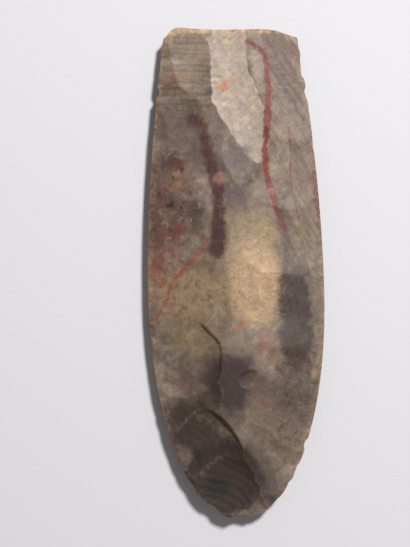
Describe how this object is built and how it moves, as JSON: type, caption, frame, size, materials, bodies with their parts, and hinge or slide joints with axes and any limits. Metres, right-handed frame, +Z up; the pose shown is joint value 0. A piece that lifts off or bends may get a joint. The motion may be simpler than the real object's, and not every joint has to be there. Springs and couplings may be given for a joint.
{
  "type": "stone hand axe",
  "caption": "Long knapped stone biface with a rounded tip, retouched cutting edges and a squared, thinned butt, lying flat.",
  "frame": {"origin": "under the middle of the stone, on the surface it lies on", "axes": "+Y along the blade from the rounded tip to the squared butt, +X across it, +Z up through its thickness"},
  "size_m": [0.0686, 0.1912, 0.015],
  "materials": {
    "stone": "dull, slightly waxy mottled chert: grey-brown and plum with a buff centre and brick-red veins"
  },
  "bodies": {
    "root": {"hand_axe": "stone"}
  },
  "joints": []
}
